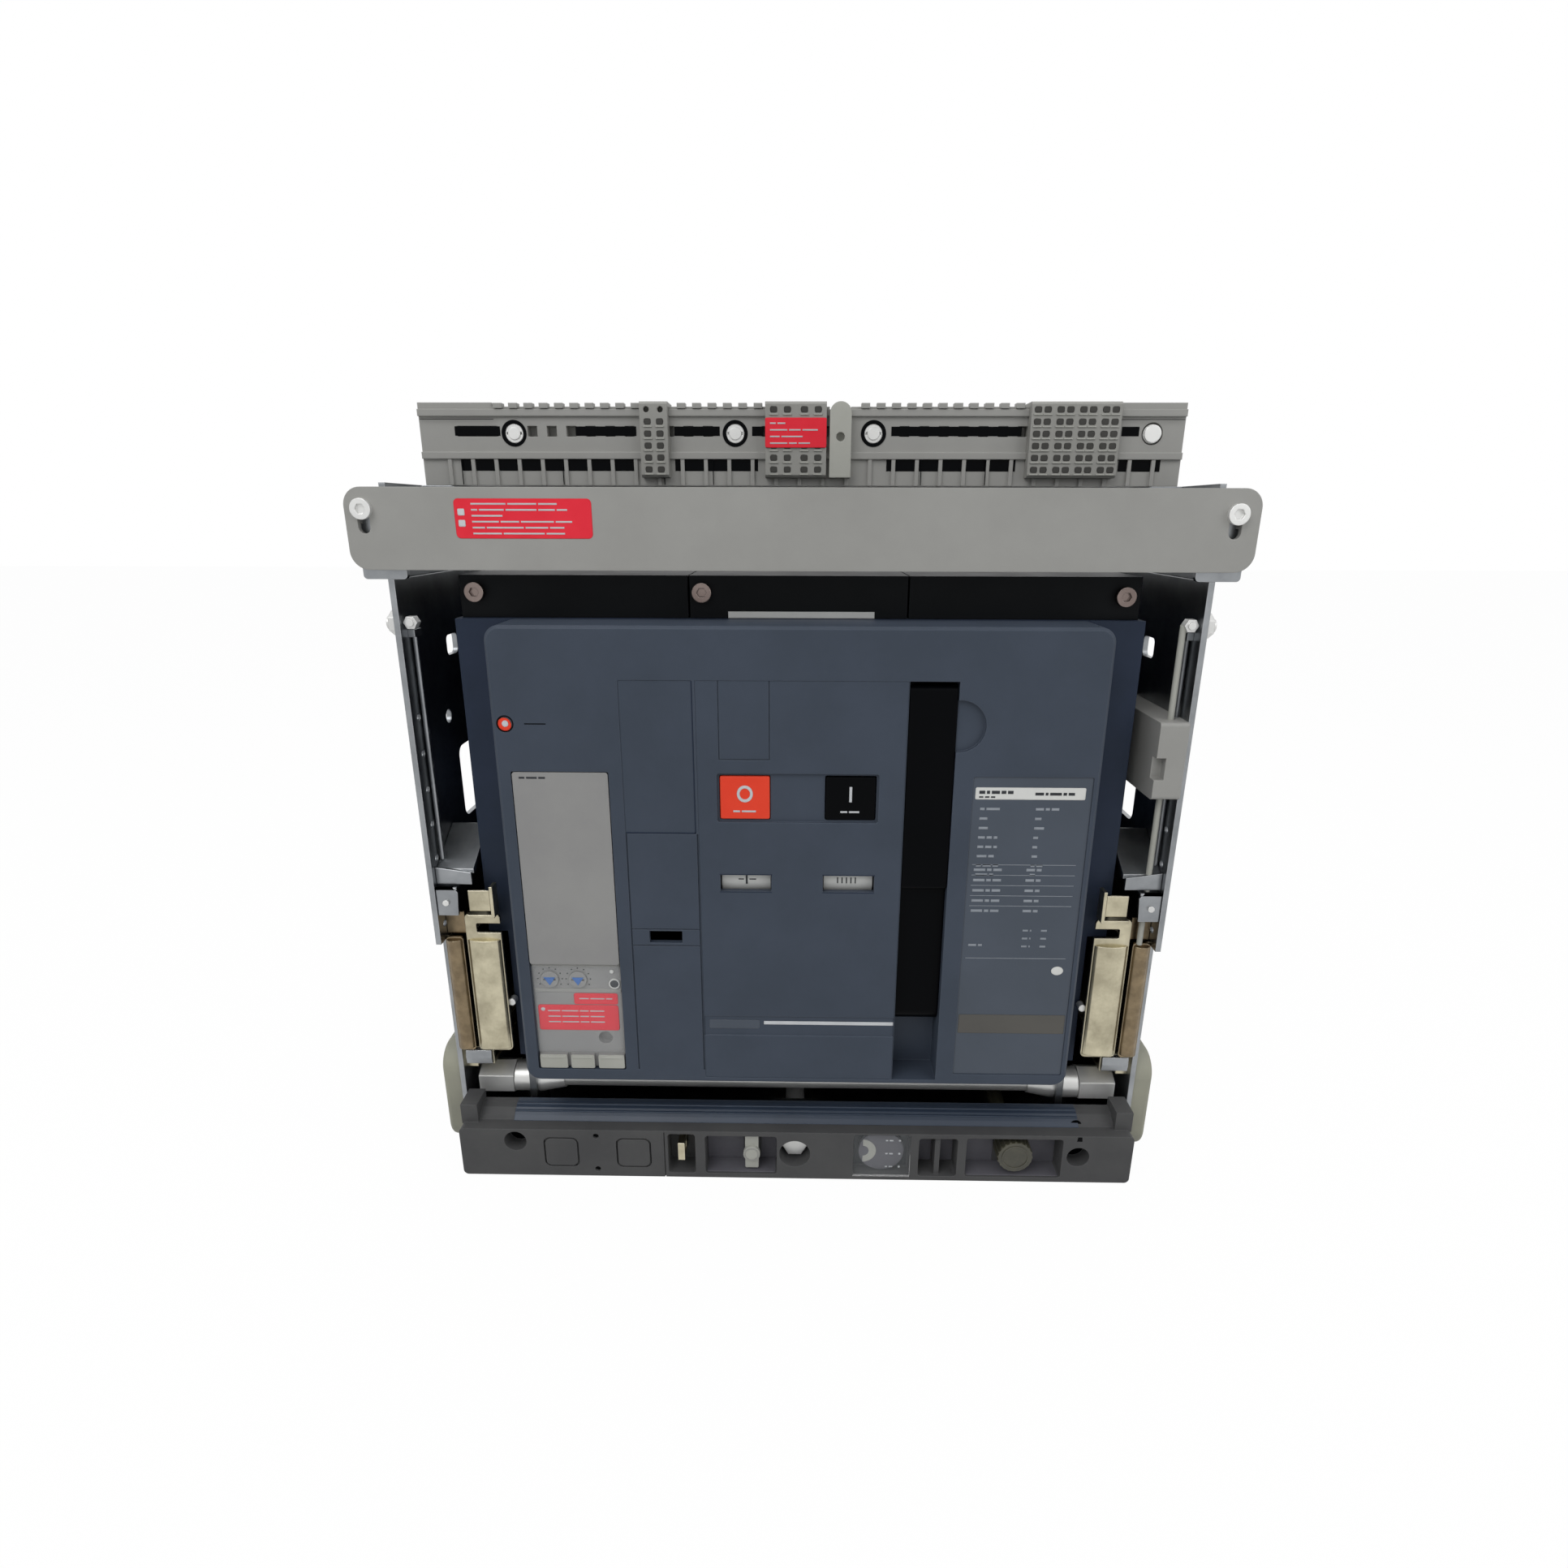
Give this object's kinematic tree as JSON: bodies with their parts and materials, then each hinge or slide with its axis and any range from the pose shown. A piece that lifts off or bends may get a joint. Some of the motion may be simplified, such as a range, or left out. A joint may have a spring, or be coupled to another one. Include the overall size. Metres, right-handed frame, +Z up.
{
  "type": "air circuit breaker",
  "caption": "Drawout low-voltage air circuit breaker in its chassis, with front cover, push buttons, charging handle, racking gear, rails, shutters and rear terminals.",
  "frame": {"origin": "under the middle of the chassis outline, on the surface it stands on", "axes": "+Z up, +Y towards the rear terminals, +X to the right seen from the front"},
  "size_m": [0.441, 0.395, 0.439],
  "materials": {
    "navy_plastic": "fine moulded texture",
    "dark_plastic": "fine moulded texture",
    "grey_plastic": "fine moulded texture",
    "black_plastic": "smooth moulded",
    "insulator": "pressed thermoset",
    "orange_plastic": "moulded",
    "black_button": "moulded",
    "clear_plastic": "clear moulded cover",
    "label_white": "printed film",
    "white_plastic": "moulded",
    "blue_plastic": "moulded",
    "zinc_steel": "zinc plated",
    "sheet_steel": "galvanised sheet",
    "bright_steel": "turned",
    "plated_copper": "silver plated copper",
    "spring_steel": "oiled spring wire"
  },
  "bodies": {
    "chassis": {"side_plate_left": "sheet_steel", "side_plate_right": "sheet_steel", "base_plate": "sheet_steel", "rear_base": "insulator", "rear_terminals": "plated_copper", "contact_clusters": "plated_copper", "shutter_guides": "insulator", "front_flanges": "zinc_steel", "rail_guides": "zinc_steel", "terminal_brackets": "zinc_steel", "terminal_carrier": "grey_plastic", "terminal_block_left": "grey_plastic", "terminal_block_centre": "grey_plastic", "terminal_block_right": "grey_plastic", "end_stop": "white_plastic", "terminal_shield": "grey_plastic", "chassis_fasteners": "bright_steel", "front_skirt": "dark_plastic", "position_window": "clear_plastic", "shaft_bushes": "bright_steel", "foot_covers": "white_plastic", "interlock_housing": "grey_plastic", "interlock_rod": "white_plastic"},
    "left_rail": {"rail_left": "zinc_steel"},
    "right_rail": {"rail_right": "zinc_steel"},
    "racking_screw": {"racking_screw": "bright_steel"},
    "cross_shaft": {"cross_shaft": "bright_steel"},
    "racking_carriage": {"racking_carriage": "zinc_steel"},
    "position_disc": {"position_disc": "white_plastic"},
    "upper_shutter": {"shutter_upper": "insulator"},
    "lower_shutter": {"shutter_lower": "insulator"},
    "racking_crank": {"racking_crank": "black_plastic"},
    "release_button": {"release_button": "white_plastic"},
    "padlock_tab": {"padlock_tab": "zinc_steel"},
    "breaker": {"breaker_base": "insulator", "breaker_side_plates": "zinc_steel", "front_housing": "navy_plastic", "front_cover": "navy_plastic", "centre_panel": "navy_plastic", "lock_plate": "navy_plastic", "rating_plate": "label_white", "mechanism_frame": "sheet_steel", "closing_spring": "spring_steel", "main_blades": "plated_copper", "arc_chutes": "black_plastic", "chute_bolts": "bright_steel", "trip_unit": "grey_plastic", "trip_cover": "grey_plastic"},
    "open_button": {"open_button": "orange_plastic"},
    "close_button": {"close_button": "black_button"},
    "reset_button": {"reset_button": "orange_plastic"},
    "charging_handle": {"charging_handle": "black_plastic"},
    "trip_flap": {"trip_flap": "clear_plastic"},
    "left_dial": {"trip_dial_left": "blue_plastic"},
    "right_dial": {"trip_dial_right": "blue_plastic"},
    "pole_shaft": {"pole_shaft": "sheet_steel"},
    "moving_contacts": {"moving_contacts": "plated_copper"},
    "contact_flag": {"contact_flag": "white_plastic"},
    "spring_flag": {"spring_flag": "white_plastic"},
    "charging_cam": {"charging_cam": "sheet_steel"}
  },
  "joints": [
    {"name": "left_rail_slide", "type": "slide", "parent": "chassis", "child": "left_rail", "axis": [0, -1, 0], "range_m": [0, 0.2]},
    {"name": "right_rail_slide", "type": "slide", "parent": "chassis", "child": "right_rail", "axis": [0, -1, 0], "range_m": [0, 0.2]},
    {"name": "racking_screw_turn", "type": "hinge", "parent": "chassis", "child": "racking_screw", "pos_m": [0, 0, 0.0178], "axis": [0, -1, 0], "range_deg": [0, 3600]},
    {"name": "racking_carriage_slide", "type": "slide", "parent": "chassis", "child": "racking_carriage", "axis": [0, -1, 0], "range_m": [0, 0.05]},
    {"name": "cross_shaft_turn", "type": "hinge", "parent": "chassis", "child": "cross_shaft", "pos_m": [0, -0.16, 0.044], "axis": [1, 0, 0], "range_deg": [0, 900]},
    {"name": "position_disc_turn", "type": "hinge", "parent": "chassis", "child": "position_disc", "pos_m": [0.052, -0.192, 0.0176], "axis": [0, -1, 0], "range_deg": [0, 120]},
    {"name": "upper_shutter_slide", "type": "slide", "parent": "chassis", "child": "upper_shutter", "axis": [0, 0, -1], "range_m": [0, 0.054]},
    {"name": "lower_shutter_slide", "type": "slide", "parent": "chassis", "child": "lower_shutter", "axis": [0, 0, 1], "range_m": [0, 0.054]},
    {"name": "racking_crank_slide", "type": "slide", "parent": "chassis", "child": "racking_crank", "axis": [0, -1, 0], "range_m": [0, 0.11]},
    {"name": "release_button_press", "type": "slide", "parent": "chassis", "child": "release_button", "axis": [0, 1, 0], "range_m": [0, 0.004], "stiffness_N_per_m": 400, "springref_m": -0.003},
    {"name": "padlock_tab_slide", "type": "slide", "parent": "chassis", "child": "padlock_tab", "axis": [0, -1, 0], "range_m": [0, 0.012]},
    {"name": "breaker_slide", "type": "slide", "parent": "racking_carriage", "child": "breaker", "axis": [0, -1, 0], "range_m": [0, 0.25]},
    {"name": "open_button_press", "type": "slide", "parent": "breaker", "child": "open_button", "axis": [0, 1, 0], "range_m": [0, 0.004], "stiffness_N_per_m": 400, "springref_m": -0.003},
    {"name": "close_button_press", "type": "slide", "parent": "breaker", "child": "close_button", "axis": [0, 1, 0], "range_m": [0, 0.004], "stiffness_N_per_m": 400, "springref_m": -0.003},
    {"name": "reset_button_press", "type": "slide", "parent": "breaker", "child": "reset_button", "axis": [0, 1, 0], "range_m": [0, 0.002], "stiffness_N_per_m": 400, "springref_m": -0.003},
    {"name": "charging_handle_pull", "type": "hinge", "parent": "breaker", "child": "charging_handle", "pos_m": [0.0685, -0.1845, 0.114], "axis": [1, 0, 0], "range_deg": [0, 80], "stiffness_Nm_per_rad": 0.25, "springref_deg": -22.92},
    {"name": "trip_flap_open", "type": "hinge", "parent": "breaker", "child": "trip_flap", "pos_m": [-0.1235, -0.1962, 0.0874], "axis": [1, 0, 0], "range_deg": [0, 100]},
    {"name": "left_dial_turn", "type": "hinge", "parent": "breaker", "child": "left_dial", "pos_m": [-0.1388, -0.195, 0.133], "axis": [0, -1, 0], "range_deg": [-135, 135]},
    {"name": "right_dial_turn", "type": "hinge", "parent": "breaker", "child": "right_dial", "pos_m": [-0.1228, -0.195, 0.133], "axis": [0, -1, 0], "range_deg": [-135, 135]},
    {"name": "moving_contacts_open", "type": "hinge", "parent": "breaker", "child": "moving_contacts", "pos_m": [0, 0.03, 0.125], "axis": [1, 0, 0], "range_deg": [0, 20]},
    {"name": "pole_shaft_turn", "type": "hinge", "parent": "breaker", "child": "pole_shaft", "pos_m": [0, -0.06, 0.15], "axis": [1, 0, 0], "range_deg": [0, 40]},
    {"name": "contact_flag_turn", "type": "hinge", "parent": "breaker", "child": "contact_flag", "pos_m": [-0.0273, -0.1805, 0.19375], "axis": [1, 0, 0], "range_deg": [0, 60]},
    {"name": "charging_cam_turn", "type": "hinge", "parent": "breaker", "child": "charging_cam", "pos_m": [0, -0.09, 0.23], "axis": [1, 0, 0], "range_deg": [0, 180]},
    {"name": "spring_flag_turn", "type": "hinge", "parent": "breaker", "child": "spring_flag", "pos_m": [0.0279, -0.1805, 0.19375], "axis": [1, 0, 0], "range_deg": [0, 60]}
  ],
  "couplings": [
    {"joint": "racking_screw_turn", "follows": "racking_carriage_slide", "rad_per_m": 1256},
    {"joint": "cross_shaft_turn", "follows": "racking_carriage_slide", "rad_per_m": 314},
    {"joint": "position_disc_turn", "follows": "racking_carriage_slide", "rad_per_m": 41.8},
    {"joint": "upper_shutter_slide", "follows": "racking_carriage_slide", "ratio": 1.079},
    {"joint": "lower_shutter_slide", "follows": "racking_carriage_slide", "ratio": 1.079},
    {"joint": "pole_shaft_turn", "follows": "moving_contacts_open", "ratio": 1.999},
    {"joint": "contact_flag_turn", "follows": "moving_contacts_open", "ratio": 2.999},
    {"joint": "spring_flag_turn", "follows": "charging_cam_turn", "ratio": 0.3333}
  ]
}
